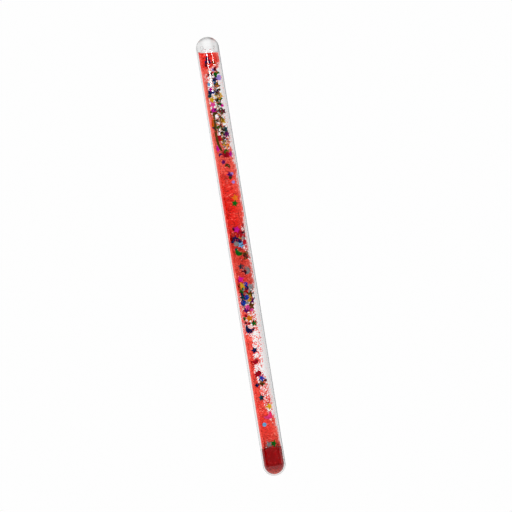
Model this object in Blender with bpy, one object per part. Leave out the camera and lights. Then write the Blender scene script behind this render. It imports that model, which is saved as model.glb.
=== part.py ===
"""A clear rainstick: a sealed acrylic wand in which foil stars and red glitter drift through liquid.

Metres, +Z up along the wand, origin at the middle of its axis. -Y is the front and +X is to its right.
The loose pieces are grouped in drifts, and each drift slides along Z. Its foil pieces keep to a lane, a
slice of the bore's depth, and its glitter to a strip of the bore's wall, so that one drift can pass
another without touching it.
"""

import math
import random

import bmesh
import bpy
from mathutils import Euler, Matrix, Vector

MM = 0.001

# Driving dimensions, in millimetres
LENGTH = 310.0
TUBE_OD = 16.0
WALL = 2.75
PLUG_SPIGOT_LENGTH = 3.5
GAP = 0.3

# Everything else follows from them
OUTER_RADIUS = TUBE_OD / 2
BORE_RADIUS = OUTER_RADIUS - WALL
DOME_CENTRE = LENGTH / 2 - OUTER_RADIUS
SPIGOT_END = DOME_CENTRE - PLUG_SPIGOT_LENGTH
SPIGOT_RADIUS = BORE_RADIUS - GAP

# Glitter: films that cling to the wall of the bore, and a pile that has settled at the bottom
FILM_OUTER = BORE_RADIUS - 0.2
FILM_INNER = FILM_OUTER - 0.15
PILE_TOP = -135.0

# Foil pieces
FOIL_THICKNESS = 0.12
FOIL_LIMIT = FILM_INNER - 0.1
STAR_RADIUS = 1.65
STAR_WAIST = 0.42
MOON_RADIUS = 1.9
DOT_RADIUS = 1.25
MOST_TILT = 26.0
LANE_GAP = 0.25
LANES = 4
LANE_DEPTH = (2 * (FOIL_LIMIT - 0.1) - (LANES - 1) * LANE_GAP) / LANES

LATHE_STEPS = 48
DOME_STEPS = 10

FOIL_COLOURS = {
    "navy": (0.02, 0.04, 0.16),
    "blue": (0.02, 0.13, 0.62),
    "sky": (0.25, 0.60, 0.85),
    "teal": (0.01, 0.17, 0.20),
    "green": (0.01, 0.38, 0.06),
    "olive": (0.22, 0.18, 0.03),
    "gold": (0.85, 0.55, 0.05),
    "orange": (0.85, 0.25, 0.03),
    "crimson": (0.55, 0.01, 0.03),
    "maroon": (0.14, 0.01, 0.04),
    "pink": (0.90, 0.10, 0.40),
    "magenta": (0.62, 0.02, 0.45),
    "purple": (0.20, 0.01, 0.20),
    "violet": (0.45, 0.33, 0.80),
    "silver": (0.72, 0.74, 0.76),
}

# Each foil piece: shape, colour, height of its centre on the wand, and distance to the right of the axis
UPPER_FOILS = [
    ("star", "navy", 139.6, -1.2),
    ("moon", "maroon", 135.4, -1.9),
    ("star", "green", 136.0, 1.9),
    ("moon", "maroon", 131.8, 2.4),
    ("moon", "green", 127.8, 2.8),
    ("star", "navy", 124.3, 0.9),
    ("star", "sky", 121.6, -2.4),
    ("moon", "olive", 120.8, 2.8),
    ("star", "magenta", 118.0, -1.5),
    ("star", "gold", 112.6, 2.3),
    ("star", "gold", 110.8, -1.9),
    ("moon", "green", 108.8, 2.3),
    ("star", "pink", 107.2, -1.8),
    ("star", "maroon", 101.8, 2.7),
    ("star", "magenta", 103.6, -1.9),
    ("star", "gold", 94.5, 1.9),
    ("moon", "orange", 94.6, -2.6),
    ("star", "teal", 89.0, 2.4),
    ("star", "purple", 85.2, 2.8),
    ("dot", "crimson", 83.5, -1.2),
    ("star", "orange", 77.6, 2.1),
    ("star", "magenta", 76.5, -2.5),
    ("moon", "green", 73.4, 1.4),
]
MIDDLE_FOILS = [
    ("star", "purple", 66.5, -0.9),
    ("star", "violet", 51.7, 2.2),
    ("star", "orange", 40.8, 2.0),
    ("star", "green", 36.9, 2.2),
    ("star", "magenta", 18.6, 0.1),
    ("star", "navy", 12.4, -1.2),
    ("star", "crimson", 14.6, 2.2),
    ("star", "sky", 7.6, 1.3),
    ("moon", "green", 3.2, -0.6),
    ("moon", "olive", -0.2, 2.4),
    ("star", "teal", -7.4, -0.6),
    ("moon", "silver", -10.3, 2.2),
]
LOWER_FOILS = [
    ("star", "magenta", -15.9, -2.4),
    ("star", "gold", -20.4, -1.9),
    ("star", "silver", -22.0, 2.7),
    ("star", "green", -24.1, -2.6),
    ("star", "olive", -27.4, 1.9),
    ("star", "teal", -29.0, -2.4),
    ("star", "purple", -31.4, 2.0),
    ("dot", "blue", -32.3, -2.8),
    ("star", "purple", -37.6, -1.6),
    ("star", "orange", -43.7, -0.6),
    ("star", "green", -47.4, 1.3),
    ("moon", "navy", -50.8, -1.2),
]
GRIP_FOILS = [
    ("star", "navy", -66.1, -0.9),
    ("dot", "crimson", -82.5, -0.3),
    ("star", "blue", -86.0, 0.9),
    ("star", "silver", -132.4, -1.3),
    ("star", "green", -132.4, 1.9),
]

# Each drift: its lane counted from the front, its foil pieces, the two angles between which its glitter
# clings, counted from the right by way of the back, and its films as name, lowest and highest level
DRIFTS = {
    "upper": (2, UPPER_FOILS, (122, 167), [("top", 124.0, 143.2), ("upper", 70.5, 123.7)]),
    "middle": (3, MIDDLE_FOILS, (58, 118), [("middle", -13.0, 70.2)]),
    "lower": (1, LOWER_FOILS, (205, 245), [("lower", -53.4, -13.3)]),
    "grip": (0, GRIP_FOILS, (171, 201), [("grip", -134.4, -53.7)]),
}


def material(name, colour, roughness, metallic=0.0, transmission=0.0):
    made = bpy.data.materials.get(name) or bpy.data.materials.new(name)
    made.use_nodes = True
    shader = made.node_tree.nodes["Principled BSDF"]
    shader.inputs["Base Color"].default_value = (*colour, 1.0)
    shader.inputs["Roughness"].default_value = roughness
    shader.inputs["Metallic"].default_value = metallic
    shader.inputs["Transmission Weight"].default_value = transmission
    shader.inputs["IOR"].default_value = 1.49
    return made


def add_object(name, mesh_data, look, smooth=False):
    """Turns a bmesh into an object in the scene, with its faces pointing out."""
    bmesh.ops.recalc_face_normals(mesh_data, faces=mesh_data.faces)
    mesh = bpy.data.meshes.new(name)
    mesh_data.to_mesh(mesh)
    mesh_data.free()
    if smooth:
        mesh.shade_smooth()
        mesh.set_sharp_from_angle(angle=math.radians(40))
    mesh.materials.append(look)
    made = bpy.data.objects.new(name, mesh)
    bpy.context.scene.collection.objects.link(made)
    return made


def arc(radius, centre_z, start, end, steps):
    """Points (x, z) of an arc about a centre on the axis. The angles are from +X, in degrees."""
    angles = [math.radians(start + (end - start) * i / steps) for i in range(steps + 1)]
    return [(radius * math.cos(a), centre_z + radius * math.sin(a)) for a in angles]


def turned(profile):
    """A solid of revolution about Z from (radius, z) points, in millimetres, that start and end on the axis."""
    made = bmesh.new()
    on_axis = [(0.0, z) if abs(x) < 1e-9 else (x, z) for x, z in profile]
    points = [made.verts.new((x * MM, 0, z * MM)) for x, z in on_axis]
    edges = [made.edges.new(pair) for pair in zip(points, points[1:])]
    bmesh.ops.spin(
        made, geom=points + edges, axis=(0, 0, 1), cent=(0, 0, 0), angle=2 * math.pi, steps=LATHE_STEPS
    )
    bmesh.ops.remove_doubles(made, verts=made.verts, dist=0.0001 * MM)
    return made


def extruded(outline, depth_way):
    """A prism: a flat outline of points, in millimetres, pushed along depth_way."""
    made = bmesh.new()
    face = made.faces.new([made.verts.new(Vector(p) * MM) for p in outline])
    pushed = bmesh.ops.extrude_face_region(made, geom=[face])["geom"]
    moved = [part for part in pushed if isinstance(part, bmesh.types.BMVert)]
    bmesh.ops.translate(made, verts=moved, vec=Vector(depth_way) * MM)
    return made


def wand_tube():
    """Thick clear wall, its lower end closed as a round dome, its upper end open for the plug."""
    rim = DOME_CENTRE - GAP
    outside = arc(OUTER_RADIUS, -DOME_CENTRE, -90, 0, DOME_STEPS) + [(OUTER_RADIUS, rim)]
    inside = [(BORE_RADIUS, rim)] + arc(BORE_RADIUS, -DOME_CENTRE, 0, -90, DOME_STEPS)
    look = material("clear_acrylic", (0.98, 0.98, 0.98), 0.02, transmission=1.0)
    return add_object("wand_tube", turned(outside + inside), look, smooth=True)


def end_plug():
    """Clear domed plug, whose spigot goes into the bore."""
    profile = [(0.0, SPIGOT_END), (SPIGOT_RADIUS, SPIGOT_END), (SPIGOT_RADIUS, DOME_CENTRE)]
    profile += arc(OUTER_RADIUS, DOME_CENTRE, 0, 90, DOME_STEPS)
    look = material("clear_acrylic", (0.98, 0.98, 0.98), 0.02, transmission=1.0)
    return add_object("end_plug", turned(profile), look, smooth=True)


def settled_glitter():
    """The pile of glitter in the round bottom of the bore."""
    profile = arc(FILM_OUTER, -DOME_CENTRE, -90, 0, DOME_STEPS)
    profile += [(FILM_OUTER, PILE_TOP), (0.0, PILE_TOP + 0.6)]
    look = material("settled_glitter", (0.45, 0.01, 0.02), 0.5)
    return add_object("settled_glitter", turned(profile), look, smooth=True)


def glitter_film(name, low, high, start, end):
    """A thin curved strip of glitter that clings to the wall between two angles."""
    steps = round((end - start) / 10)
    angles = [math.radians(start + (end - start) * i / steps) for i in range(steps + 1)]
    outline = [(FILM_OUTER * math.cos(a), FILM_OUTER * math.sin(a), low) for a in angles]
    outline += [(FILM_INNER * math.cos(a), FILM_INNER * math.sin(a), low) for a in reversed(angles)]
    look = material("red_glitter", (0.75, 0.04, 0.03), 0.5)
    return add_object(f"red_glitter_{name}", extruded(outline, (0, 0, high - low)), look)


def star_outline():
    radii = (STAR_RADIUS, STAR_RADIUS * STAR_WAIST)
    turns = [math.radians(90 + 36 * i) for i in range(10)]
    return [(radii[i % 2] * math.cos(a), 0, radii[i % 2] * math.sin(a)) for i, a in enumerate(turns)]


def moon_outline():
    """A crescent: a wide arc, and a shallower one back between blunt horns."""
    outer = [math.radians(a) for a in range(62, 299, 26)]
    inner = [math.radians(a) for a in range(270, 89, -30)]
    hollow = MOON_RADIUS * 0.72
    points = [(MOON_RADIUS * math.cos(a), 0, MOON_RADIUS * math.sin(a)) for a in outer]
    return points + [(MOON_RADIUS * 0.32 + hollow * math.cos(a), 0, hollow * math.sin(a)) for a in inner]


def dot_outline():
    turns = [math.radians(30 * i) for i in range(12)]
    return [(DOT_RADIUS * math.cos(a), 0, DOT_RADIUS * math.sin(a)) for a in turns]


OUTLINES = {"star": star_outline, "moon": moon_outline, "dot": dot_outline}


def lane_middle(lane):
    """The depth, in Y, of the middle of a lane."""
    return -(FOIL_LIMIT - 0.1) + LANE_DEPTH / 2 + lane * (LANE_DEPTH + LANE_GAP)


def placed(corners, turn, tilt, yaw, across, depth, height):
    """The matrix that turns a foil in its own plane, tilts it, and stands it at its place."""
    leaning = Euler((math.radians(tilt), 0, math.radians(yaw))).to_matrix().to_4x4()
    matrix = leaning @ Matrix.Rotation(math.radians(turn), 4, "Y")
    matrix.translation = Vector((across, depth, height)) * MM
    return matrix, [matrix @ corner for corner in corners]


def foil_piece(name, shape, colour, height, across, lane, chance):
    """One piece of foil, tilted at random as far as its lane leaves room, and kept clear of the wall."""
    flat = extruded([(x, -FOIL_THICKNESS / 2, z) for x, _, z in OUTLINES[shape]()], (0, FOIL_THICKNESS, 0))
    corners = [vertex.co.copy() for vertex in flat.verts]
    look = material(f"foil_{colour}", FOIL_COLOURS[colour], 0.25, metallic=0.9)
    made = add_object(name, flat, look)
    turn = chance.uniform(0, 360)
    tilt, yaw = chance.uniform(-MOST_TILT, MOST_TILT), chance.uniform(-MOST_TILT, MOST_TILT)
    depth = lane_middle(lane)
    matrix, spots = placed(corners, turn, tilt, yaw, across, depth, height)
    while max(abs(p.y / MM - depth) for p in spots) > LANE_DEPTH / 2:
        tilt, yaw = 0.9 * tilt, 0.9 * yaw
        matrix, spots = placed(corners, turn, tilt, yaw, across, depth, height)
    while max(math.hypot(p.x, p.y) for p in spots) / MM > FOIL_LIMIT:
        across, depth = 0.96 * across, depth - 0.02 * math.copysign(1.0, depth)
        matrix, spots = placed(corners, turn, tilt, yaw, across, depth, height)
        room = LANE_DEPTH / 2 - abs(depth - lane_middle(lane))
        while max(abs(p.y / MM - depth) for p in spots) > room:
            tilt, yaw = 0.9 * tilt, 0.9 * yaw
            matrix, spots = placed(corners, turn, tilt, yaw, across, depth, height)
    made.matrix_world = matrix
    return made


def gather(drift, pieces):
    """Hangs a drift's pieces from an empty on the wand's axis, which is the line they slide along."""
    carrier = bpy.data.objects.new(f"{drift}_drift", None)
    bpy.context.scene.collection.objects.link(carrier)
    for piece in pieces:
        piece.parent = carrier


def main():
    for old in list(bpy.data.objects):
        bpy.data.objects.remove(old)
    wand_tube()
    end_plug()
    settled_glitter()
    chance = random.Random(11)
    for drift, (lane, foils, angles, films) in DRIFTS.items():
        pieces = [glitter_film(name, low, high, *angles) for name, low, high in films]
        for number, (shape, colour, height, across) in enumerate(foils, 1):
            name = f"{drift}_{shape}_{number:02d}_{colour}"
            pieces.append(foil_piece(name, shape, colour, height, across, lane, chance))
        gather(drift, pieces)


main()
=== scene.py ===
import math

import bmesh
import bpy
import numpy as np
from mathutils import Matrix, Vector, noise


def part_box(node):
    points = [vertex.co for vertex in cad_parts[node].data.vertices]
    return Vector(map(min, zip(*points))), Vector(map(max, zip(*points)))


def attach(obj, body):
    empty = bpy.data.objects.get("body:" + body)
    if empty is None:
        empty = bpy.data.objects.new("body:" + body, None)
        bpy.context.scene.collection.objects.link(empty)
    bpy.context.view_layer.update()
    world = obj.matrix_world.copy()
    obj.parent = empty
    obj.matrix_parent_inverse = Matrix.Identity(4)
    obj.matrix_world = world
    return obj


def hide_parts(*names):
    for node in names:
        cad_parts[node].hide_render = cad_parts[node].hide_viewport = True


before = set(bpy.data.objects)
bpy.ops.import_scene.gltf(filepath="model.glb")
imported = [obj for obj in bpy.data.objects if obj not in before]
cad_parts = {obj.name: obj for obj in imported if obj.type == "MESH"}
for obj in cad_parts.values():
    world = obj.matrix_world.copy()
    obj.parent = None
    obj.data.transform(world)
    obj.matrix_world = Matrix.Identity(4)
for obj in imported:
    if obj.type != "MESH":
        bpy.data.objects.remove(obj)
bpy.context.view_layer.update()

# A sealed clear rod, full of slow liquid, red glitter and loose foil stars, moons and dots. Its
# axis is Z, and the picture shows it from -Y. Lengths are in millimetres until a mesh is made, and
# MM turns them into metres.
MM = 0.001
rng = np.random.default_rng(9)

# ---- sizes --------------------------------------------------------------------------------------
tube_low, tube_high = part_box("wand_tube")
plug_low, plug_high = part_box("end_plug")
OUTER_RADIUS = (tube_high.x - tube_low.x) / 2 / MM
HALF_LENGTH = plug_high.z / MM
LIQUID_TOP = plug_low.z / MM            # the plug's lower face
DOME_CENTRE = HALF_LENGTH - OUTER_RADIUS
BORE_RADIUS = 5.25
PILE_TOP = -134.4                       # settled glitter lies below this
GLASS_SEGMENTS = 160
ACRYLIC_IOR = 1.49
LIQUID_IOR = 1.35
WET_IOR = 1.12                          # plastic film against the liquid
LEAN = math.radians(9.1)                # the rod's top leans to the left in the picture

# Each drift keeps its glitter and its foils in thin shells of its own along the bore's wall, so
# that the drifts pass each other when they slide. Only the upper drift has anything nearer the
# axis. z: its lowest and highest glitter. shell and lane: middle radius of its glitter and of its
# foils. crowd: how much bigger its loose foils are than MORE_FOILS says.
DRIFTS = {
    "upper": {"z": (70.4, 143.2), "shell": 5.16, "lane": 4.60, "crowd": 1.0,
              "films": ("red_glitter_top", "red_glitter_upper")},
    "middle": {"z": (-13.0, 70.3), "shell": 5.055, "lane": 4.24, "crowd": 1.18,
               "films": ("red_glitter_middle",)},
    "lower": {"z": (-53.4, -13.2), "shell": 4.95, "lane": 3.88, "crowd": 1.2,
              "films": ("red_glitter_lower",)},
    "grip": {"z": (-134.2, -53.6), "shell": 4.865, "lane": 3.52, "crowd": 1.1,
             "films": ("red_glitter_grip",)},
}
LANE_HALF = 0.09        # how far a foil may reach to each side of its lane's middle
OVERLAP = 1.8           # how far a drift's glitter reaches down over the next one

# How the red glitter lies, by height: (z, right edge of the dense layer, sparse cover to the right
# of it, where the sparse cover ends, cover of the dense layer). Edges are as seen from the front.
RED_ROWS = [
    (-134.4, 7.0, .9, 7.1, .99), (-129, 6.8, .9, 7.1, .98), (-124, 6.2, .85, 7.1, .97),
    (-119, 4.2, .7, 6.8, .96), (-114, 1.6, .6, 6.5, .95), (-100, -.4, .5, 6, .93),
    (-90, -1.2, .5, 5.6, .92), (-82, -3.6, .3, 3, .92), (-72, -2.4, .42, 4, .92),
    (-58, -1.4, .5, 5.5, .92), (-53, -4.2, .32, 4.6, .7), (-49, -1.4, .45, 4.4, .62),
    (-43, -1.0, .55, 4.1, .7), (-38, -3.4, .55, 3.8, .64), (-32, -3.8, .55, 3.6, .6),
    (-27, -1.2, .6, 4.4, .62), (-23.5, 4.2, .6, 6.2, .85), (-20, 5.4, .6, 7.2, .96),
    (-13, 5.6, .6, 7.4, .97), (-4, 5.6, .6, 7.4, .97), (1, 4.6, .5, 7.0, .95),
    (8, 3.0, .4, 6.4, .95), (18, 3.8, .4, 6.2, .97), (23, 5.2, .5, 7.0, .98),
    (29, 6.2, .62, 7.8, .99), (44, 6.0, .66, 7.8, .98), (53, 5.6, .64, 7.6, .97),
    (62, 5.6, .66, 7.4, .92), (69, 5.0, .62, 7.0, .88), (73, 3.4, .62, 6.4, .86),
    (77, .2, .6, 6, .86), (84, -1.6, .42, 5.6, .87), (95, -3.2, .34, 5, .88),
    (104, -4.5, .2, 3.6, .88), (112, -4.6, .14, 3, .9), (120, -4.2, .3, 3, .9),
    (124, -3.4, .5, 3.2, .8), (129, -2.6, .5, 3.4, .78), (132.2, -1.6, .5, 5, .95),
    (133.8, .8, .5, 6, .98), (135.4, 4.2, .5, 6.8, .98), (136.6, 7.1, .6, 7.2, .99),
    (143.2, 7.1, .6, 7.2, .995),
]
LEFT_WRAP = 208           # degrees, how far the dense layer comes round the left towards the front
FRONT_COVER = 0.035       # stray flakes on the near wall
DENSE_COVER = 0.80        # from here up the glitter is a packed film

STAR_RADIUS, STAR_WAIST, MOON_RADIUS, DOT_RADIUS = 2.7, 0.5, 2.8, 1.9
RADII = {"star": STAR_RADIUS, "moon": MOON_RADIUS, "dot": DOT_RADIUS}
FOIL_THICKNESS = 0.05
# Loose foils beside those of the frame: (shape, colour, height, sideways as seen from the front,
# size, turn in degrees), and "back" for those on the far wall.
MORE_FOILS = {
    "upper": [
        ("dot", "sky", 142.2, -1.3, .35, 0), ("dot", "olive", 102.4, -4.9, .35, 0),
        ("dot", "olive", 102.6, -4.0, .4, 0), ("dot", "maroon", 103.3, -3.2, .4, 0),
        ("moon", "navy", 137.0, .5, .55, 20), ("dot", "navy", 137.3, -2.7, .5, 0),
        ("dot", "violet", 131.2, 1.7, .6, 0), ("dot", "violet", 125.4, 5.0, 1.05, 20),
        ("star", "maroon", 128.1, -2.2, .5, 25), ("moon", "maroon", 128.3, .3, .5, 5),
        ("dot", "sky", 122.4, 1.2, .45, 0, "back"), ("dot", "magenta", 119.5, 1.8, .35, 0, "back"),
        ("dot", "olive", 117.0, 3.7, .5, 15), ("star", "navy", 116.0, -3.1, .9, 40),
        ("moon", "blue", 115.5, .2, .7, 270, "back"), ("dot", "teal", 113.6, -3.9, .7, 0),
        ("star", "gold", 113.4, .6, .7, 5), ("star", "orange", 111.8, 2.0, .6, 0, "back"),
        ("dot", "magenta", 105.7, 4.1, .5, 30), ("star", "olive", 101.6, -1.5, .9, 12),
        ("dot", "violet", 99.3, .4, .4, 0), ("dot", "navy", 91.5, -4.7, .55, 0),
        ("star", "green", 91.0, -1.4, .8, 35), ("star", "gold", 78.8, .8, .8, 18),
        ("star", "crimson", 72.0, .1, 1.1, 20), ("star", "crimson", 71.6, 2.3, 1.05, 45),
        ("dot", "crimson", 70.9, 1.2, .8, 0), ("moon", "navy", 71.7, -2.9, .5, 300),
        ("star", "magenta", 71.5, 4.2, .9, 50), ("star", "maroon", 97.9, 2.2, .6, 0),
        ("moon", "olive", 87.0, 1.3, .7, 130), ("dot", "green", 104.0, 2.9, .3, 0),
        ("moon", "purple", 104.2, -1.9, .6, 60), ("dot", "orange", 108.4, .6, .35, 0),
        ("star", "maroon", 86.6, 4.1, .6, 18), ("dot", "crimson", 82.3, -1.8, .55, 0),
        ("star", "olive", 96.0, -1.0, .6, 0, "back"), ("moon", "gold", 81.5, 2.4, .6, 100, "back"),
        ("dot", "pink", 110.0, -4.0, .4, 0),
    ],
    "middle": [
        # The maroon dot at 0.2 mm height, left of the olive dot, is a painted shadow: a dark foil
        # put where the olive dot's shade lies.
        ("dot", "olive", 1.2, 4.7, .7, 0), ("dot", "maroon", .2, 3.1, .6, 0),
        ("dot", "maroon", -1.0, 5.2, .5, 0), ("dot", "crimson", 14.0, 5.2, .6, 0),
        ("dot", "crimson", 10.0, 5.4, .5, 0), ("dot", "crimson", 12.4, 2.4, .6, 0),
        ("star", "purple", 57.4, 1.6, .8, 14), ("moon", "olive", 63.2, .8, .6, 240),
        ("dot", "olive", 55.2, 1.5, .55, 0), ("dot", "violet", 57.8, 3.1, .45, 0),
        ("dot", "crimson", 21.2, 5.0, .5, 0), ("dot", "crimson", 17.6, 2.0, .8, 0),
        ("moon", "maroon", 17.6, 5.0, .7, 150), ("dot", "gold", 13.2, 1.5, .5, 0),
        ("dot", "silver", 12.2, 3.9, .6, 0), ("dot", "navy", 10.8, -4.2, .5, 0),
        ("star", "navy", 10.9, 1.0, .7, 30), ("moon", "navy", 9.3, 1.9, .6, 20),
        ("star", "crimson", 9.3, 4.6, .9, 12), ("dot", "silver", 9.0, -1.7, .8, 0),
        ("dot", "crimson", 6.2, 5.1, .5, 0), ("dot", "navy", 5.2, -2.4, .45, 0),
        ("moon", "maroon", -11.4, .5, .6, 230), ("dot", "maroon", 19.4, -1.7, .6, 0),
        ("dot", "maroon", 13.0, -3.0, .5, 0, "back"), ("dot", "navy", 14.8, 3.0, .5, 0, "back"),
    ],
    "lower": [
        ("dot", "blue", -19.8, .3, .7, 0), ("dot", "maroon", -20.4, -4.0, .6, 0),
        ("dot", "navy", -22.4, .7, .6, 0), ("dot", "silver", -23.1, -1.9, .5, 0),
        ("star", "crimson", -24.9, -1.4, 1.05, 28), ("star", "silver", -25.4, 2.6, .8, 12),
        ("dot", "silver", -26.3, -1.0, .5, 0), ("moon", "navy", -28.3, 5.0, .7, 190),
        ("dot", "blue", -28.9, -.4, .8, 0), ("moon", "gold", -30.0, .9, .7, 120),
        ("star", "silver", -32.6, -.5, .55, 0), ("star", "silver", -34.2, -3.2, .5, 22),
        ("star", "olive", -35.4, 1.7, 1.0, 8), ("dot", "pink", -35.9, -.9, .75, 0),
        ("dot", "pink", -38.0, 1.8, .5, 0), ("dot", "crimson", -41.6, -3.1, .5, 0),
        ("dot", "green", -43.4, -4.7, .55, 0), ("dot", "crimson", -47.2, -1.6, .5, 0),
        ("dot", "maroon", -46.4, -4.0, .45, 0), ("dot", "gold", -27.4, 1.3, .6, 0),
        ("dot", "navy", -26.5, -3.0, .6, 0), ("dot", "crimson", -29.6, 2.6, .55, 0),
        ("star", "maroon", -30.6, 2.8, .6, 0, "back"),
    ],
    "grip": [
        ("moon", "crimson", -73.6, -3.1, .9, 100), ("star", "crimson", -83.2, -2.0, .9, 10),
        ("star", "olive", -89.6, .8, 1.0, 30), ("dot", "navy", -90.6, -3.3, .6, 0),
        ("dot", "maroon", -88.0, 3.6, .5, 0), ("star", "gold", -106.4, 3.5, .9, 20),
        ("star", "teal", -99.5, -1.5, .9, 0), ("moon", "pink", -112.6, 1.7, .9, 40, "back"),
        ("dot", "sky", -118.4, -2.4, .7, 0),
    ],
}
# Size and turn of the frame's own foils where they aren't left to chance, by shape and height.
CAD_TURNS = {
    ("moon", -50.8): (1.2, 55), ("moon", -10.2): (1.0, 200), ("moon", 3.2): (1.05, 45),
    ("moon", -.5): (.9, 180), ("moon", 127.6): (.8, -45), ("moon", 131.8): (.55, 0),
    ("moon", 135.4): (.62, 8), ("star", 136.0): (.5, 20), ("star", 139.6): (.7, 10),
    ("star", 121.6): (.65, 0), ("star", 118.0): (.75, 30), ("moon", 120.8): (.7, 30),
    ("moon", 73.4): (.7, -80), ("star", 66.5): (.75, 10), ("star", 51.7): (.6, 10),
    ("star", -43.7): (1.15, 10),
}
FOIL_COLOURS = {      # linear red, green, blue
    "blue": (.004, .05, .48), "crimson": (.44, .001, .012), "gold": (.72, .38, .01),
    "green": (.001, .12, .006), "magenta": (.70, .006, .34), "maroon": (.085, .002, .012),
    "navy": (.003, .008, .085), "olive": (.10, .055, .003), "orange": (.84, .21, .006),
    "pink": (.90, .07, .36), "purple": (.11, .002, .12), "silver": (.24, .245, .25),
    "sky": (.16, .50, .86), "teal": (.001, .045, .065), "violet": (.36, .24, .68),
}


# ---- meshes -------------------------------------------------------------------------------------
def new_object(name, points, faces, smooth=False):
    """An object from points in millimetres and lists of corner numbers."""
    mesh = bpy.data.meshes.new(name)
    mesh.from_pydata((np.asarray(points, float) * MM).tolist(), [], faces)
    mesh.validate()
    mesh.polygons.foreach_set("use_smooth", [smooth] * len(mesh.polygons))
    made = bpy.data.objects.new(name, mesh)
    bpy.context.scene.collection.objects.link(made)
    return made


def turned(profile, segments):
    """A surface of revolution about Z. The profile's first and last points lie on the axis."""
    angles = np.arange(segments) * 2 * math.pi / segments
    points = [(0, 0, profile[0][1])]
    for r, z in profile[1:-1]:
        points += [(r * math.cos(a), r * math.sin(a), z) for a in angles]
    points.append((0, 0, profile[-1][1]))
    last, rings, faces = len(points) - 1, len(profile) - 2, []
    for i in range(segments):
        j = (i + 1) % segments
        faces.append((0, 1 + j, 1 + i))
        for k in range(rings - 1):
            low, high = 1 + k * segments, 1 + (k + 1) * segments
            faces.append((low + i, low + j, high + j, high + i))
        top = 1 + (rings - 1) * segments
        faces.append((last, top + i, top + j))
    return points, faces


def arc(radius, centre_z, start, end, steps):
    """Profile points on a circle about the axis, by elevation in degrees."""
    return [(radius * math.cos(a), centre_z + radius * math.sin(a))
            for a in np.radians(np.linspace(start, end, steps))]


def joined(parts):
    """Points and faces of several meshes as one."""
    points, faces = [], []
    for p, f in parts:
        start = len(points)
        points += p
        faces += [tuple(start + i for i in face) for face in f]
    return points, faces


# Each foil shape has a unit radius, and comes as its points, its convex top faces and its outline.
def star_plate():
    ring = []
    for i in range(10):
        r = 1 if i % 2 == 0 else STAR_WAIST
        a = math.radians(90 + 36 * i)
        ring.append((r * math.cos(a), r * math.sin(a)))
    faces = [(0, 1 + (i - 1) % 10, 1 + i, 1 + (i + 1) % 10) for i in range(0, 10, 2)]
    return [(0, 0)] + ring, faces, list(range(1, 11))


def moon_plate():
    steps = 12
    horn = 50           # degrees from the moon's axis to each horn
    past_horns = .22    # how far beyond them the inner arc has its centre
    outer = [(math.cos(a), math.sin(a))
             for a in np.radians(np.linspace(horn, 360 - horn, steps + 1))]
    tip = outer[0]
    centre = (tip[0] + past_horns, 0)
    r = math.hypot(tip[0] - centre[0], tip[1])
    spread = math.degrees(math.atan2(tip[1], tip[0] - centre[0]))
    inner = [(centre[0] + r * math.cos(a), r * math.sin(a))
             for a in np.radians(np.linspace(spread, 360 - spread, steps + 1))][1:-1]
    n = steps + 1
    faces = [(0, 1, n)]
    faces += [(i, i + 1, n + i, n + i - 1) for i in range(1, steps - 1)]
    faces.append((steps - 1, steps, n + steps - 2))
    return outer + inner, faces, list(range(n)) + list(range(n + steps - 2, n - 1, -1))


def dot_plate():
    sides = 12
    ring = [(math.cos(a), math.sin(a)) for a in np.radians(np.arange(0, 360, 360 // sides))]
    faces = [(0, 1 + i, 1 + (i + 1) % sides) for i in range(sides)]
    return [(0, 0)] + ring, faces, list(range(1, sides + 1))


PLATES = {"star": star_plate(), "moon": moon_plate(), "dot": dot_plate()}


def closed_plate(layers, top, outline):
    """Points and faces of a thin closed plate, from its lower and upper layers of points."""
    n = len(layers[0])
    faces = [tuple(n + i for i in f) for f in top] + [tuple(reversed(f)) for f in top]
    for i, a in enumerate(outline):
        b = outline[(i + 1) % len(outline)]
        faces.append((a, b, n + b, n + a))
    return list(layers[0]) + list(layers[1]), faces


# The round rod widens what is in it, so foils are made narrower across it. Towards its sides they
# are seen at a slant, and are made wider again, up to a limit.
FOIL_NARROWING, MOST_WIDENING = 0.82, 1.6


def wall_foil(shape, size, lane, angle, z, spin, lean):
    """A foil that clings to the bore's wall and bends with it. lean is its tilt, sideways and
    up, which its lane keeps small."""
    flat, top, outline = PLATES[shape]
    turn, layers = math.radians(spin), ([], [])
    widen = FOIL_NARROWING * min(MOST_WIDENING, 1 / max(abs(math.sin(angle)), .5))
    for x, y in flat:
        u = size * (x * math.cos(turn) - y * math.sin(turn)) * widen
        v = size * (x * math.sin(turn) + y * math.cos(turn))
        lift = max(-LANE_HALF, min(LANE_HALF, lean[0] * u + lean[1] * v)) * .8
        a = angle + u / lane
        for side in (0, 1):
            r = lane + lift + (side - .5) * FOIL_THICKNESS
            layers[side].append((r * math.cos(a), r * math.sin(a), z + v))
    return closed_plate(layers, top, outline)


def loose_foil(shape, size, place, turn):
    """A flat foil that floats free in the liquid. turn is a rotation matrix."""
    flat, top, outline = PLATES[shape]
    layers = [[tuple(turn @ Vector((x * size, y * size, s * FOIL_THICKNESS / 2)) + Vector(place))
               for x, y in flat] for s in (-1, 1)]
    return closed_plate(layers, top, outline)


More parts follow.
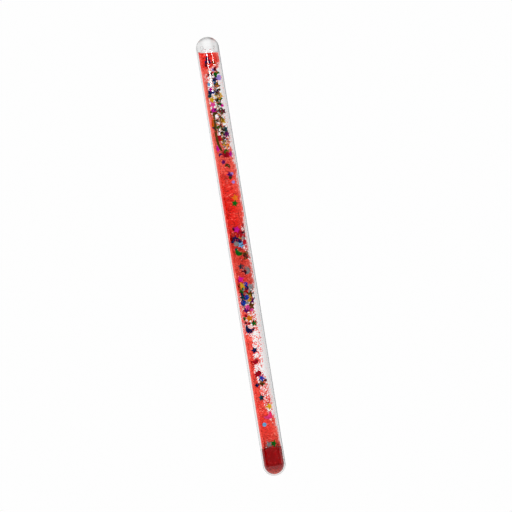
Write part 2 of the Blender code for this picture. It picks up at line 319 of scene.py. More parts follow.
# ---- materials ----------------------------------------------------------------------------------
class Nodes:
    """A material's node tree with short calls for what is used here."""

    def __init__(self, name):
        self.material = bpy.data.materials.new(name)
        self.material.use_nodes = True
        self.tree = self.material.node_tree
        self.shader = self.tree.nodes["Principled BSDF"]

    def add(self, kind, values=(), **settings):
        node = self.tree.nodes.new(kind)
        for key, value in settings.items():
            setattr(node, key, value)
        for socket, value in dict(values).items():
            if isinstance(value, bpy.types.NodeSocket):
                self.tree.links.new(value, node.inputs[socket])
            else:
                node.inputs[socket].default_value = value
        return node

    def set(self, **values):
        for name, value in values.items():
            socket = self.shader.inputs[name.replace("_", " ")]
            if isinstance(value, bpy.types.NodeSocket):
                self.tree.links.new(value, socket)
            else:
                socket.default_value = value

    def place(self):
        return self.add("ShaderNodeTexCoord").outputs["Object"]

    def noise(self, scale, detail=2.0):
        values = {"Vector": self.place(), "Scale": scale, "Detail": detail}
        return self.add("ShaderNodeTexNoise", values).outputs["Fac"]

    def math(self, operation, a, b, **settings):
        return self.add("ShaderNodeMath", {0: a, 1: b}, operation=operation, **settings).outputs[0]

    def ramp(self, factor, stops):
        node = self.add("ShaderNodeValToRGB", {"Fac": factor})
        elements = node.color_ramp.elements
        while len(elements) > 1:
            elements.remove(elements[-1])
        elements[0].position, elements[0].color = stops[0][0], (*stops[0][1], 1)
        for position, colour in stops[1:]:
            elements.new(position).color = (*colour, 1)
        return node.outputs["Color"]

    def range(self, value, to_low, to_high, low=0.0, high=1.0):
        return self.add("ShaderNodeMapRange", {
            "Value": value, "To Min": to_low, "To Max": to_high,
            "From Min": low, "From Max": high}).outputs[0]

    def bump(self, height, strength, distance):
        values = {"Height": height, "Strength": strength, "Distance": distance}
        return self.add("ShaderNodeBump", values).outputs["Normal"]


def clear_material(name, ior):
    """Clear acrylic: glass-clear, with very faint wipe marks in its polish."""
    n = Nodes(name)
    marks = n.noise(60.0, 3.0)
    n.set(Base_Color=(1, 1, 1, 1), Roughness=n.range(marks, 0.0, 0.012), IOR=ior)
    n.set(Transmission_Weight=1.0)
    return n.material


def glitter_material(name, low, high, painted_glint, thin, by_height, to_right=0.0, grain=2100.0):
    """Packed flakes: a cell for each flake with its own tone, and on a few a painted glint, a paler
    colour in place of light they catch. Where the layer thins out it turns to the thin colour:
    towards its right edge, and by height, for which by_height gives (z, share) pairs. The settled
    pile uses the height blend for painted light instead: a lighter coral at its bottom."""
    n = Nodes(name)
    cells = n.add("ShaderNodeTexVoronoi", {"Vector": n.place(), "Scale": grain})
    tone = n.add("ShaderNodeSeparateColor", {"Color": cells.outputs["Color"]}).outputs[0]
    mixed = n.math("MULTIPLY", tone, n.noise(260.0, 4.0))
    # The last stop is a painted glint: a paler colour on a few flakes in place of light they catch.
    colour = n.ramp(mixed, [(0, low), (.26, high), (.46, high), (.6, painted_glint)])
    x, _, z = n.add("ShaderNodeSeparateXYZ", {0: n.place()}).outputs
    near_edge = n.range(x, 0.0, to_right, .0005, .0052)
    lowest, highest = by_height[0][0] * MM, by_height[-1][0] * MM
    height = n.range(z, 0.0, 1.0, lowest, highest)
    stops = [((h * MM - lowest) / (highest - lowest), (share,) * 3) for h, share in by_height]
    thinner = n.math("ADD", near_edge, n.ramp(height, stops))
    share = n.math("MULTIPLY", thinner, n.range(mixed, .4, 2.2), use_clamp=True)
    blend = n.add("ShaderNodeMix", {"Factor": share, 6: colour, 7: (*thin, 1)}, data_type="RGBA")
    n.set(Base_Color=blend.outputs[2], Metallic=0.03, Roughness=n.range(tone, .32, .5),
          Normal=n.bump(cells.outputs["Distance"], .5, .0002), IOR=WET_IOR)
    return n.material


def flake_material(name, low, high, painted_glint):
    """Loose flakes, each with its own tone, and a painted glint, a paler colour, blended in on a
    few.
    """
    n = Nodes(name)
    each = n.add("ShaderNodeNewGeometry").outputs["Random Per Island"]
    n.set(Base_Color=n.ramp(each, [(0, low), (.5, high), (.8, high), (1, painted_glint)]), Metallic=0.06,
          Roughness=n.range(each, .28, .5), Normal=n.bump(n.noise(3000.0), .2, .00005),
          IOR=WET_IOR)
    return n.material


def foil_material(name, colour, shade=.5, painted_flashes=()):
    """Lacquered metal foil with a light and a dark side to its film, and fine scuffs. shade is the
    dark side's share of the colour. flashes are more stops, which paint a highlight on the pieces
    that should seem to catch the light."""
    n = Nodes(name)
    each = n.add("ShaderNodeNewGeometry").outputs["Random Per Island"]
    film, scuff = n.noise(420.0, 3.0), n.noise(2600.0, 5.0)
    light = tuple(min(1.0, c * 1.07 + .001) for c in colour)
    dark = tuple(c * shade for c in colour)
    tone = n.math("MULTIPLY", n.math("ADD", each, film), .5)
    n.set(Base_Color=n.ramp(tone, [(.07, dark), (.43, colour), (.5, light), *painted_flashes]),
          Metallic=0.6, Roughness=n.range(scuff, .2, .42), Normal=n.bump(scuff, .25, .00006),
          IOR=WET_IOR)
    return n.material


def crumb_material(name, colour):
    """Foil like the rest, but darker in its shade, and with a painted warm white highlight on some
    of the crumbs.
    """
    return foil_material(name, colour, .3, [(.61, colour), (.64, (1, .96, .84))])


ACRYLIC = clear_material("clear_acrylic_outside", ACRYLIC_IOR)
ACRYLIC_IN_LIQUID = clear_material("clear_acrylic_against_liquid", ACRYLIC_IOR / LIQUID_IOR)
RED_FILM = glitter_material(
    "red_glitter_packed", low=(.36, .002, .002), high=(.80, .016, .009), painted_glint=(.97, .30, .22),
    thin=(.90, .21, .15), to_right=.7, grain=1700.0, by_height=[
        (-134, .2), (-60, .3), (-45, .5), (-20, .2), (-8, .3), (2, .2), (12, .05), (36, 0),
        (46, .08), (58, .25), (66, .5), (80, .7), (120, .75), (129, .65), (131.5, .35), (134, .1),
        (143.2, .05)])
RED_FLAKES = flake_material(
    "red_glitter_flakes", low=(.62, .014, .010), high=(.88, .075, .050), painted_glint=(.97, .46, .40))
# The settled pile is far darker than the film: partly the deeper red of packed glitter, partly
# painted shade over the rod's lower end. Its thin colour, blended in by height at the very bottom,
# is not thinner glitter but a painted highlight: the lighter coral that the round clear end bends
# into view.
PILE_WITH_PAINTED_LIGHT = glitter_material(
    "settled_glitter_with_painted_light", low=(.08, .0001, .0006), high=(.22, .0002, .001),
    painted_glint=(.30, .003, .003), thin=(.80, .13, .07),
    by_height=[(-153, .45), (-151.5, .26), (-150, .08), (-148.5, 0), (-134, 0)])
# The pile's loose flakes are as dark for the same two reasons: packed glitter and painted shade.
PILE_FLAKES_WITH_PAINTED_SHADE = flake_material(
    "settled_glitter_flakes", low=(.14, .0002, .001), high=(.30, .0006, .002),
    painted_glint=(.52, .03, .03))
FOILS = {c: foil_material("foil_" + c, FOIL_COLOURS[c]) for c in FOIL_COLOURS}
CRUMB_COLOURS = ("olive", "gold", "maroon", "navy", "olive",
                 "gold", "silver", "teal", "maroon", "violet")
COLUMN_COLOURS = ("olive", "olive", "gold", "maroon", "olive",
                  "silver", "navy", "gold", "olive", "maroon")
CRUMBS = {c: crumb_material("crumb_" + c, FOIL_COLOURS[c])
          for c in sorted({*CRUMB_COLOURS, *COLUMN_COLOURS})}


# ---- the clear rod ------------------------------------------------------------------------------
LEVEL_SLOPE = math.tan(LEAN)      # the liquid's top is level while the rod leans
LEVEL_FROM = 139.5                # below this height nothing is moved for it
LEVEL_FULL = LIQUID_TOP - .4      # from here up everything is moved by the whole slope


def level_top(points):
    """Points with those near the liquid's top moved up to the level of the liquid there."""
    moved = []
    for x, y, z in points:
        share = min(1.0, max(0.0, (z - LEVEL_FROM) / (LEVEL_FULL - LEVEL_FROM)))
        moved.append((x, y, z + share * share * LEVEL_SLOPE * (BORE_RADIUS - x)))
    return moved


def void(place, radii, tip):
    """A small lumpy hollow in the clear plastic, with its faces turned inwards."""
    shape = bmesh.new()
    bmesh.ops.create_icosphere(shape, subdivisions=4, radius=1.0)
    spin, centre = Matrix.Rotation(math.radians(tip), 3, "Y"), Vector(place)
    points = []
    for v in shape.verts:
        lump = 1 + .16 * noise.noise(v.co * 1.3 + centre)
        points.append(tuple(spin @ Vector([c * r * lump for c, r in zip(v.co, radii)]) + centre))
    faces = [tuple(reversed([v.index for v in f.verts])) for f in shape.faces]
    shape.free()
    return points, faces


# Air left in the cement round the plug: (place, half sizes, tip in degrees).
VOIDS = [((-3.0, -1.5, 147.0), (.95, .5, 1.5), 16), ((-1.5, -3.6, 146.2), (.6, .35, .35), 0),
         ((1.6, -3.4, 145.7), (.8, .35, .3), -6), ((3.3, -2.0, 145.9), (.5, .35, .4), 0),
         ((2.7, 2.4, 147.3), (.35, .3, .6), -30)]


def clear_rod():
    """The tube and its cemented plug as one clear body, with the sealed bore inside it."""
    steps, rows, fillet = 24, 31, .35
    near_dome = DOME_CENTRE - .3        # rows close to the domes keep their shading round
    outside = ([(0, -HALF_LENGTH)] + arc(OUTER_RADIUS, -DOME_CENTRE, -90, 0, steps)[1:]
               + [(OUTER_RADIUS, z) for z in np.linspace(-near_dome, near_dome, rows)]
               + arc(OUTER_RADIUS, DOME_CENTRE, 0, 90, steps)[:-1] + [(0, HALF_LENGTH)])
    corner = [(BORE_RADIUS - fillet + fillet * math.cos(a),
               LIQUID_TOP - fillet + fillet * math.sin(a))
              for a in np.radians(np.linspace(0, 90, 7))]
    inside = ([(0, -DOME_CENTRE - BORE_RADIUS)] + arc(BORE_RADIUS, -DOME_CENTRE, -90, 0, steps)[1:]
              + [(BORE_RADIUS, z)
                 for z in np.linspace(-DOME_CENTRE, LIQUID_TOP - fillet, rows)[1:-1]]
              + corner + [(BORE_RADIUS * .5, LIQUID_TOP + .05), (0, LIQUID_TOP + .1)])
    points, faces = joined([turned(outside, GLASS_SEGMENTS)] + [void(*facts) for facts in VOIDS])
    hollow, hollow_faces = turned(inside, GLASS_SEGMENTS)
    outer_count, start = len(faces), len(points)
    faces += [tuple(start + i for i in reversed(f)) for f in hollow_faces]
    made = new_object("clear_rod", points + level_top(hollow), faces, smooth=True)
    made.data.materials.append(ACRYLIC)
    made.data.materials.append(ACRYLIC_IN_LIQUID)
    made.data.polygons.foreach_set(
        "material_index", [int(i >= outer_count) for i in range(len(made.data.polygons))])
    return made


rod = clear_rod()
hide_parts("wand_tube", "end_plug")
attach(rod, "wand")


# ---- red glitter --------------------------------------------------------------------------------
def smooth_step(value):
    value = np.clip(value, 0, 1)
    return value * value * (3 - 2 * value)


# For rays near the middle, from their two refractions: at the rod's face and at the bore.
NEAR_WALL_SCALE, SCALE_PER_MM = .8869, .02786


def lens_gain(y):
    """How much the rod and its liquid widen what lies y behind the axis, seen from the front."""
    return 1 / (NEAR_WALL_SCALE - SCALE_PER_MM * (y + BORE_RADIUS))


# Where places on the bore's far wall are seen from the front, by angle from +X.
BACK_END = 178
BACK_ANGLES = np.radians(np.linspace(0, BACK_END, BACK_END + 1))
BACK_SEEN = BORE_RADIUS * np.cos(BACK_ANGLES) * lens_gain(BORE_RADIUS * np.sin(BACK_ANGLES))


def ripple(angle, z, size, seed):
    """Smooth noise on the bore's wall, about -1 to 1, with lumps of the given size."""
    x, y = BORE_RADIUS * np.cos(angle), BORE_RADIUS * np.sin(angle)
    flat = np.stack([x.ravel(), y.ravel(), z.ravel()], 1) / size + seed * 37.0
    return np.array([noise.noise(p) for p in flat]).reshape(x.shape) * 1.6


def red_cover(angle, z):
    """Share of the bore's wall that the glitter hides, by angle from +X and height."""
    rows = np.array(RED_ROWS)
    edge, sparse, reach, dense = (np.interp(z, rows[:, 0], rows[:, k]) for k in (1, 2, 3, 4))
    degrees = np.degrees(angle) % 360
    coarse, fine = ripple(angle, z, 3.4, 1), ripple(angle, z, 1.1, 2)
    seen = np.interp(angle, BACK_ANGLES, BACK_SEEN)
    seen = seen + .45 * coarse + .3 * fine              # so that the layer's edge is ragged
    patches = np.clip(1 + .9 * coarse + .5 * fine, .1, 1.6)
    back = np.maximum(dense * smooth_step((edge - seen) / .9 + .5),
                      sparse * smooth_step((reach - seen) / 1.6 + .4) * patches)
    wrap = LEFT_WRAP + 5 * coarse + 3 * fine
    front = FRONT_COVER * np.clip(1 + 1.5 * coarse, 0, 3)
    left = dense * smooth_step((wrap - degrees) / 8 + .5)
    cover = np.where(degrees < BACK_END, back, np.maximum(left, front))
    return np.clip(cover, 0, .995)


def in_drift(angle, z, z_low, z_high):
    """Whether a place lies between the drift's ragged lower end and its ragged upper end."""
    low = z_low - 1.0 + .8 * ripple(angle, 0 * z, 1.3, 5)
    high = z_high - .5 + .5 * ripple(angle, 0 * z, 1.3, 6)
    return (z > low) & (z < np.where(z_high > LIQUID_TOP - 1, z_high, high))


def wall_film(name, shell, z_low, z_high):
    """Closed ragged patches of packed glitter in one thin shell, where the cover is dense."""
    columns, pitch, half, shake = 66, .5, .022, .3
    bottom = z_low - OVERLAP
    rows = int(round((z_high - bottom) / pitch))
    a = np.arange(columns) * 2 * math.pi / columns
    z = np.linspace(bottom, z_high, rows + 1)
    mid_a, mid_z = np.meshgrid(a + math.pi / columns, (z[1:] + z[:-1]) / 2)
    present = (red_cover(mid_a, mid_z) > DENSE_COVER) & in_drift(mid_a, mid_z, z_low, z_high)
    jitter = rng.uniform(-shake, shake, (rows + 1, columns, 2))
    jitter[0, :, 1] = jitter[-1, :, 1] = 0
    grid_a = a[None, :] + jitter[..., 0] * 2 * math.pi / columns
    grid_z = z[:, None] + jitter[..., 1] * pitch
    points, index, faces = [], {}, []

    def corner(i, j, side):
        """Number of a grid corner's point on the film's outer (1) or inner (-1) face."""
        key = (i, j % columns, side)
        if key not in index:
            r = shell + side * half
            t = grid_a[i, j % columns]
            index[key] = len(points)
            points.append((r * math.cos(t), r * math.sin(t), grid_z[i, j % columns]))
        return index[key]

    for i, j in zip(*np.nonzero(present)):
        i, j = int(i), int(j)
        for side in (1, -1):
            quad = [corner(i, j, side), corner(i, j + 1, side),
                    corner(i + 1, j + 1, side), corner(i + 1, j, side)]
            faces.append(tuple(quad if side > 0 else reversed(quad)))
        # a rim wherever the cell below, above, to the right or to the left is empty
        for di, dj, ends in ((-1, 0, ((i, j), (i, j + 1))), (1, 0, ((i + 1, j + 1), (i + 1, j))),
                             (0, 1, ((i, j + 1), (i + 1, j + 1))), (0, -1, ((i + 1, j), (i, j)))):
            ni, nj = i + di, (j + dj) % columns
            if 0 <= ni < rows and present[ni, nj]:
                continue
            (p, q), (r, s) = ends
            faces.append((corner(r, s, 1), corner(p, q, 1), corner(p, q, -1), corner(r, s, -1)))
    made = new_object(name, level_top(points), faces)
    made.data.materials.append(RED_FILM)
    return made


FLAKE_SIZE, FLAKE_THICKNESS, FLAKE_TILT = (.20, .31), .012, 3.0     # tilt in degrees
FLAKE_AREA = 2.6 * .26 ** 2                                         # of a hexagon of middling size


def flake_cloud(name, angles, heights, radii, material):
    """Small hexagonal flakes that lie along the wall."""
    count = len(angles)
    size = rng.uniform(*FLAKE_SIZE, count)
    spin = rng.uniform(0, 2 * math.pi, count)
    tilt = np.radians(rng.uniform(-FLAKE_TILT, FLAKE_TILT, (count, 2)))
    out = np.stack([np.cos(angles), np.sin(angles), np.zeros(count)], 1)
    along = np.stack([-np.sin(angles), np.cos(angles), np.zeros(count)], 1)
    up = np.tile([0.0, 0.0, 1.0], (count, 1))
    normal = out + along * np.tan(tilt[:, :1]) + up * np.tan(tilt[:, 1:])
    normal /= np.linalg.norm(normal, axis=1, keepdims=True)
    u = np.cross(up, normal)
    u /= np.linalg.norm(u, axis=1, keepdims=True)
    v = np.cross(normal, u)
    centre = out * radii[:, None] + up * heights[:, None]
    corners = spin[:, None] + np.arange(6) * math.pi / 3
    ring = (u[:, None] * np.cos(corners)[..., None]
            + v[:, None] * np.sin(corners)[..., None]) * size[:, None, None]
    low = centre[:, None] + ring - normal[:, None] * FLAKE_THICKNESS / 2
    high = low + normal[:, None] * FLAKE_THICKNESS
    points = np.concatenate([low, high], 1).reshape(-1, 3)
    one = [(5, 4, 3, 2, 1, 0), (6, 7, 8, 9, 10, 11)]
    one += [(i, (i + 1) % 6, 6 + (i + 1) % 6, 6 + i) for i in range(6)]
    faces = [tuple(12 * k + i for i in f) for k in range(count) for f in one]
    made = new_object(name, level_top(points), faces)
    made.data.materials.append(material)
    return made


def drift_flakes(drift, shell, z_low, z_high):
    """Loose flakes, as many in each cell of the wall as its cover asks for, and a few on the
    film."""
    cell, on_film = .8, .3
    a, z = np.meshgrid(np.arange(0, 2 * math.pi, cell / shell),
                       np.arange(z_low - OVERLAP + .4, z_high - .2, cell))
    cover = red_cover(a, z) * in_drift(a, z, z_low, z_high)
    layers = np.where(cover > DENSE_COVER, on_film, -np.log(1 - np.minimum(cover, DENSE_COVER)))
    counts = rng.poisson(layers * cell * cell / FLAKE_AREA).ravel()
    angles = np.repeat(a.ravel(), counts)
    heights = np.repeat(z.ravel(), counts)
    angles = angles + rng.uniform(-.5, .5, len(angles)) * cell / shell
    heights = np.minimum(heights + rng.uniform(-.5, .5, len(heights)) * cell, z_high - .35)
    radii = shell + rng.uniform(-.012, .012, len(angles))
    return flake_cloud(drift + "_glitter_flakes", angles, heights, radii, RED_FLAKES)


for drift, facts in DRIFTS.items():
    film = wall_film(drift + "_glitter_film", facts["shell"], *facts["z"])
    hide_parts(*facts["films"])
    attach(film, drift + "_drift")
    flakes = drift_flakes(drift, facts["shell"], *facts["z"])
    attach(flakes, drift + "_drift")


# ---- the settled pile ---------------------------------------------------------------------------
def settled_pile():
    """Packed glitter that fills the bore's round end, with a sunken, uneven top."""
    radius, segments = BORE_RADIUS - .03, 72
    bottom = arc(radius, -DOME_CENTRE, -90, 0, 14)[1:]
    side = [(radius, z) for z in np.linspace(-DOME_CENTRE + .6, PILE_TOP - 1.0, 22)]
    top = [(r, PILE_TOP - .55 - .35 * (r / radius) ** 2)
           for r in (radius - .05, 4.2, 3.2, 2.2, 1.2)]
    profile = [(0, -DOME_CENTRE - radius)] + bottom + side + top + [(0, PILE_TOP - .5)]
    points, faces = turned(profile, segments)
    rough = []
    for x, y, z in points:
        spot = Vector((x, y, z))
        lump = noise.noise(spot * .9) * .6 + noise.noise(spot * 2.3) * .3
        if z > PILE_TOP - 1.05:
            z = min(z + lump * .8, PILE_TOP)
        else:
            x, y = x * (1 - .012 * (1 + lump)), y * (1 - .012 * (1 + lump))
        rough.append((x, y, z))
    made = new_object("settled_glitter_pile", rough, faces, smooth=True)
    made.data.materials.append(PILE_WITH_PAINTED_LIGHT)
    return made


pile = settled_pile()
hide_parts("settled_glitter")
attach(pile, "settled_pile")
PILE_FLAKE_COUNT = 1500
flakes = flake_cloud("settled_glitter_flakes", rng.uniform(0, 2 * math.pi, PILE_FLAKE_COUNT),
                     rng.uniform(-DOME_CENTRE, PILE_TOP - .6, PILE_FLAKE_COUNT),
                     BORE_RADIUS - .05 + rng.uniform(-.03, .01, PILE_FLAKE_COUNT), PILE_FLAKES_WITH_PAINTED_SHADE)
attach(flakes, "settled_pile")


# ---- foils --------------------------------------------------------------------------------------
def wall_angle(seen, lane, wall):
    """Angle from +X of a place on the front or back of the bore that is seen at that offset."""
    a = np.radians(np.linspace(181, 359, 179) if wall == "front" else np.linspace(2, 178, 177))
    offsets = lane * np.cos(a) * lens_gain(lane * np.sin(a))
    order = np.argsort(offsets)
    return float(np.interp(seen, offsets[order], a[order]))


def add_foils(drift, name, by_colour, nodes, materials):
    """One piece for each colour, in place of the frame's foils of that colour."""
    for colour, parts in sorted(by_colour.items()):
        piece = new_object(f"{drift}_{name}_{colour}", *joined(parts))
        piece.data.materials.append(materials[colour])
        if nodes.get(colour):
            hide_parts(*nodes[colour])
        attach(piece, drift + "_drift")


LOOSE_INSET, CAD_INSET = -.03, .03      # the frame's foils lie outside the loose ones in the lane
SAME_HEIGHT = 1.5                       # how close a frame foil has to be to its row in CAD_TURNS
for drift, listed in MORE_FOILS.items():
    lane, crowd, by_colour, nodes = DRIFTS[drift]["lane"], DRIFTS[drift]["crowd"], {}, {}
    rows = [(shape, colour, z, seen, size * crowd, spin, *(wall or ["front"]), LOOSE_INSET)
            for shape, colour, z, seen, size, spin, *wall in listed]
    for name in sorted(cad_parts):
        words = name.split("_")         # drift, shape, number and colour
        if words[0] == drift and words[1] in RADII:
            low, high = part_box(name)
            x, y, z = (low + high) / 2 / MM
            size, spin = 1.0, rng.uniform(-30, 50)
            for (kind, height), turns in CAD_TURNS.items():
                if words[1] == kind and abs(z - height) < SAME_HEIGHT:
                    size, spin = turns
            rows.append((words[1], words[3], z, x * lens_gain(y), size, spin, "front", CAD_INSET))
            nodes.setdefault(words[3], []).append(name)
    for shape, colour, z, seen, size, spin, wall, inset in rows:
        lean = rng.uniform(-.07, .07, 2)
        made = wall_foil(shape, RADII[shape] * size, lane + inset,
                         wall_angle(seen, lane, wall), z, spin, lean)
        by_colour.setdefault(colour, []).append(made)
    add_foils(drift, "foils", by_colour, nodes, FOILS)

# Crumbs of foil in the middle of the upper drift: a column of them along the curled strand, a loose
# scatter round it, and some in front of the foils, one after another down the column.
CORE_RADIUS = 3.15          # crumbs that float free stay inside it, clear of the other drifts
CRUMB_COUNT, COLUMN_COUNT, FRONT_COUNT = 300, 190, 110
FRONT_TOP, FRONT_LENGTH, FRONT_LEFT, FRONT_RIGHT = 122, 45.5, .6, 2.4     # two uneven rows
SHAPES = ("dot", "star", "moon")
upper_lane, crumbs = DRIFTS["upper"]["lane"], {}
for k in range(CRUMB_COUNT):
    column = k < COLUMN_COUNT
    if column:
        z, size = rng.uniform(76.5, 121.5), rng.uniform(.4, .72)
        x, y = rng.normal(.85, .42), rng.uniform(-2.4, -1.3)
    else:
        z = rng.uniform(80, 120) if k % 8 else rng.uniform(114, 122)
        size = rng.uniform(.3, .6)
        x, y = rng.normal(.2, 1.2), rng.uniform(-2.2, 1.2)
    reach = math.hypot(x, y) + size
    if reach > CORE_RADIUS:
        x, y = (c * (CORE_RADIUS - size) / (reach - size) for c in (x, y))
    turn = (Matrix.Rotation(rng.uniform(0, 2 * math.pi), 3, "Z")
            @ Matrix.Rotation(math.radians(rng.uniform(60, 120)), 3, "X")
            @ Matrix.Rotation(rng.uniform(0, 2 * math.pi), 3, "Z"))
    shape = SHAPES[int(rng.integers(len(SHAPES)))]
    colours = COLUMN_COLOURS if column else CRUMB_COLOURS
    colour = colours[int(rng.integers(len(colours)))]
    crumbs.setdefault(colour, []).append(loose_foil(shape, size, (x, y, z), turn))
for k in range(FRONT_COUNT):
    shape = SHAPES[k % len(SHAPES)]
    colour = COLUMN_COLOURS[int(rng.integers(len(COLUMN_COLOURS)))]
    z = FRONT_TOP - FRONT_LENGTH * (k + rng.uniform(0, 1)) / FRONT_COUNT
    seen = (FRONT_LEFT, FRONT_RIGHT)[k % 2] + rng.normal(0, .45)
    made = wall_foil(shape, rng.uniform(.45, .8), upper_lane + .16,
                     wall_angle(seen, upper_lane, "front"), z, rng.uniform(0, 360), (0, 0))
    crumbs.setdefault(colour, []).append(made)
add_foils("upper", "crumbs", crumbs, {}, CRUMBS)


# ---- tinsel strands -----------------------------------------------------------------------------
STRAND_THICKNESS, STRAND_COLOUR = .05, "olive"


def ribbon(name, path, width, turns):
    """A thin closed ribbon along path. turns gives its width's turn about Z, in degrees, at each
    point."""
    path = [Vector(p) for p in path]
    points, faces, last = [], [], len(path) - 1
    for i, p in enumerate(path):
        angle = math.radians(turns[i])
        ahead = (path[min(i + 1, last)] - path[max(i - 1, 0)]).normalized()
        side = Vector((math.cos(angle), math.sin(angle), 0))
        side = (side - ahead * side.dot(ahead)).normalized()
        face = ahead.cross(side)
        taper = min(1.0, .35 + .65 * min(i, last - i) / 3)
        for s, t in ((-1, -1), (1, -1), (1, 1), (-1, 1)):
            points.append(p + side * (s * width / 2 * taper) + face * (t * STRAND_THICKNESS / 2))
    for i in range(last):
        for k in range(4):
            a, b = 4 * i + k, 4 * i + (k + 1) % 4
            faces.append((a, b, b + 4, a + 4))
    end = 4 * last
    faces += [(3, 2, 1, 0), (end, end + 1, end + 2, end + 3)]
    piece = new_object(name, points, faces)
    piece.data.materials.append(FOILS[STRAND_COLOUR])
    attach(piece, "upper_drift")


FRONT_STRAND = 4.735        # the long strand's radius: just in front of the foils
LONG_STRAND = [(102.4, -2.9), (98, -3.0), (94, -3.1), (90, -3.4), (86.5, -3.6), (83, -3.5),
               (80, -3.2), (77, -2.4), (74.2, -1.4)]       # height, sideways as seen in front
heights, offsets = zip(*reversed(LONG_STRAND))
long_path, along_wall = [], []
for z in np.linspace(heights[-1], heights[0], 46):
    a = wall_angle(np.interp(z, heights, offsets), FRONT_STRAND, "front")
    long_path.append((FRONT_STRAND * math.cos(a), FRONT_STRAND * math.sin(a), z))
    along_wall.append(math.degrees(a) + 90)
ribbon("tinsel_strand_long", long_path, 1.55, along_wall)

CURL_TOP, CURL_LENGTH, CURL_PER_MM = 121.6, 45, 30
curl = np.linspace(0, 1, 120)
curled_path = [(.72 + .1 * math.sin(9 * t), -1.6, CURL_TOP - CURL_LENGTH * t) for t in curl]
ribbon("tinsel_strand_curled", curled_path, 1.05, 20 + CURL_PER_MM * CURL_LENGTH * curl)


# ---- studio -------------------------------------------------------------------------------------
FLOOR_RADIUS, FLOOR_HEIGHT = 2400.0, -620.0
floor_points = [(FLOOR_RADIUS * math.cos(a), FLOOR_RADIUS * math.sin(a), FLOOR_HEIGHT)
                for a in np.radians(np.arange(0, 360, 4))]
floor = new_object("studio_floor", floor_points, [tuple(range(len(floor_points)))])
n = Nodes("studio_floor_paper")
n.set(Base_Color=n.ramp(n.noise(40.0), [(.3, (.435,) * 3), (.7, (.45,) * 3)]),
      Roughness=.9, IOR=1.1)
floor.data.materials.append(n.material)
floor.visible_transmission = False    # the clear plastic bends a plain studio, not the floor's edge

STRIP_DISTANCE = 4000.0


def strip_light(name, left, right, low, high, strength):
    """A tall soft strip in front of the rod, seen only in its polish. Angles in degrees from -Y
    towards +X, and up from the horizon."""
    corners = []
    for azimuth, elevation in ((left, low), (right, low), (right, high), (left, high)):
        a, e = math.radians(azimuth), math.radians(elevation)
        corners.append((STRIP_DISTANCE * math.sin(a), -STRIP_DISTANCE * math.cos(a),
                        STRIP_DISTANCE * math.tan(e)))
    strip = new_object(name, corners, [(0, 1, 2, 3)])
    n = Nodes(name)
    glow = n.add("ShaderNodeEmission", {"Color": (1, 1, 1, 1), "Strength": strength})
    n.tree.links.new(glow.outputs[0], n.tree.nodes["Material Output"].inputs["Surface"])
    strip.data.materials.append(n.material)
    strip.visible_camera = strip.visible_diffuse = strip.visible_transmission = False
    strip.visible_shadow = strip.visible_volume_scatter = False


# The camera looks level from 2 m, so a strip that starts at this height shows from there up.
strip_light("left_strip", -22.3, -13.7, 4.95, 6.25, 22)
strip_light("right_strip", 31, 40, 5.8, 6.25, 20)

world = bpy.data.worlds.new("studio")
bpy.context.scene.world = world
world.use_nodes = True
tree = world.node_tree
tree.nodes.clear()
link = tree.links.new


def math_node(operation, a, b=0.0):
    node = tree.nodes.new("ShaderNodeMath")
    node.operation = operation
    for socket, value in ((0, a), (1, b)):
        if isinstance(value, bpy.types.NodeSocket):
            link(value, node.inputs[socket])
        else:
            node.inputs[socket].default_value = value
    return node.outputs[0]


def times(a, b):
    return math_node("MULTIPLY", a, b)


def plus(a, b):
    return math_node("ADD", a, b)


def fade(value, start, end):
    """0 up to start, 1 from end on, and a soft step between them."""
    node = tree.nodes.new("ShaderNodeMapRange")
    node.interpolation_type = "SMOOTHSTEP"
    link(value, node.inputs["Value"])
    node.inputs["From Min"].default_value, node.inputs["From Max"].default_value = start, end
    return node.outputs[0]


def light(strength):
    node = tree.nodes.new("ShaderNodeBackground")
    if isinstance(strength, bpy.types.NodeSocket):
        link(strength, node.inputs["Strength"])
    else:
        node.inputs["Strength"].default_value = strength
    node.inputs["Color"].default_value = (1, 1, 1, 1)
    return node.outputs[0]


def pick(factor, first, second):
    node = tree.nodes.new("ShaderNodeMixShader")
    for socket, value in enumerate((factor, first, second)):
        link(value, node.inputs[socket])
    return node.outputs[0]


split = tree.nodes.new("ShaderNodeSeparateXYZ")
link(tree.nodes.new("ShaderNodeTexCoord").outputs["Generated"], split.inputs[0])
x_way, y_way, z_way = split.outputs
to_left, from_level = times(x_way, -1.0), math_node("ABSOLUTE", z_way)
path = tree.nodes.new("ShaderNodeLightPath")
mirrored = math_node("GREATER_THAN", path.outputs["Glossy Depth"], .5)
outside = times(mirrored, math_node("LESS_THAN", path.outputs["Transmission Depth"], .5))
scattered = math_node("GREATER_THAN", path.outputs["Diffuse Depth"], .5)

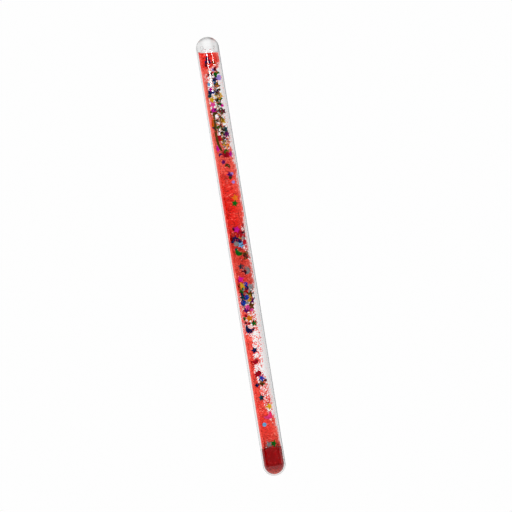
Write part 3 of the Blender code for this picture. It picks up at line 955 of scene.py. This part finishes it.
# What polish and clear plastic show: a white sweep behind, less what each of these takes away.
behind = fade(y_way, -.45, -.25)
left_card = times(behind, plus(times(fade(to_left, .12, .42), .23),
                               times(fade(to_left, .78, .92), .35)))
right_card = times(behind, plus(times(fade(x_way, .10, .45), .17),
                                times(fade(x_way, .70, .85), .2)))
# The camera's side is dark to what polish mirrors, and a pale grey to what clear plastic bends.
depth = plus(times(mirrored, .78), .16)
dim = math_node("MAXIMUM", fade(y_way, -.30, -.60), times(outside, fade(y_way, .10, -.45)))
level_line = math_node("SUBTRACT", 1.0, fade(from_level, .25, .5))
camera_side = times(times(dim, level_line), depth)
steep = times(fade(from_level, .35, .8), .45)
straight_back = times(fade(y_way, .80, .97), .05)
right_edge = times(outside, times(fade(x_way, .10, .30), times(fade(y_way, .15, .40), .9)))
level = 1.0
for part in (left_card, right_card, camera_side, steep, straight_back, right_edge):
    level = math_node("SUBTRACT", level, part)

BACKDROP = 0.99           # what the camera sees straight on
FILL_LIGHT = 2.2          # soft light from all round on whatever isn't polished
seen_light = pick(path.outputs["Is Camera Ray"], light(level), light(BACKDROP))
surface = tree.nodes.new("ShaderNodeOutputWorld").inputs["Surface"]
link(pick(scattered, seen_light, light(FILL_LIGHT)), surface)

# ---- camera -------------------------------------------------------------------------------------
VIEW_WIDTH = 0.3574        # metres across the picture at the rod
LENS, SENSOR = 200.0, 36.0
SIDE, RISE = 0.01061, 0.00017
camera_data = bpy.data.cameras.new("camera")
camera_data.lens, camera_data.sensor_width = LENS, SENSOR
camera_data.clip_start, camera_data.clip_end = .05, 50
right = Vector((math.cos(LEAN), 0, -math.sin(LEAN)))
up = Vector((math.sin(LEAN), 0, math.cos(LEAN)))
back = Vector((0, -1, 0))
place = right * SIDE + up * RISE + back * (LENS * VIEW_WIDTH / SENSOR)
camera = bpy.data.objects.new("camera", camera_data)
camera.matrix_world = Matrix((
    (right.x, up.x, back.x, place.x), (right.y, up.y, back.y, place.y),
    (right.z, up.z, back.z, place.z), (0, 0, 0, 1)))
bpy.context.scene.collection.objects.link(camera)
bpy.context.scene.camera = camera
bpy.context.scene.view_settings.view_transform = "Standard"
